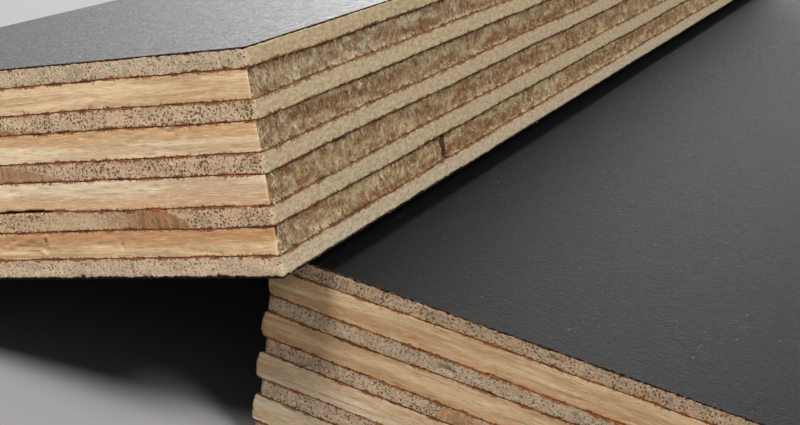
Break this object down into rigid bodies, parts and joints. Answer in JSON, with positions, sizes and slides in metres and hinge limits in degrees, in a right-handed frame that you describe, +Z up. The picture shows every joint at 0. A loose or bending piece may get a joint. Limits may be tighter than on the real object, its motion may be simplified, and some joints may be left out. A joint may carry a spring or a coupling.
{
  "type": "stack of plywood sheets",
  "caption": "Stack of film-faced plywood offcuts with dark phenolic faces and bare sawn edges, the upper sheet leaning on the edge of the lower one.",
  "frame": {"origin": "middle of the lower sheet's underside, the face that it rests on", "axes": "+Z up through the sheets, +Y along the sheets from the near end, +X across them towards the lower sheet's free edge"},
  "size_m": [0.1174, 0.1877, 0.0368],
  "materials": {
    "film": "satin dark phenolic film with fine pebbling",
    "lengthwise_veneer": "sawn bare veneer, grain along the sheet",
    "crosswise_veneer": "sawn bare veneer, grain across the sheet"
  },
  "bodies": {
    "root": {"upper_film_top": "film", "upper_veneer_1": "lengthwise_veneer", "upper_veneer_2": "crosswise_veneer", "upper_veneer_3": "lengthwise_veneer", "upper_veneer_4": "crosswise_veneer", "upper_veneer_5": "lengthwise_veneer", "upper_veneer_6": "crosswise_veneer", "upper_veneer_7": "lengthwise_veneer", "upper_veneer_8": "crosswise_veneer", "upper_veneer_9": "lengthwise_veneer", "upper_film_bottom": "film", "lower_film_top": "film", "lower_veneer_1": "lengthwise_veneer", "lower_veneer_2": "crosswise_veneer", "lower_veneer_3": "lengthwise_veneer", "lower_veneer_4": "crosswise_veneer", "lower_veneer_5": "lengthwise_veneer", "lower_veneer_6": "crosswise_veneer", "lower_veneer_7": "lengthwise_veneer", "lower_veneer_8": "crosswise_veneer", "lower_veneer_9": "lengthwise_veneer", "lower_film_bottom": "film"}
  },
  "joints": []
}
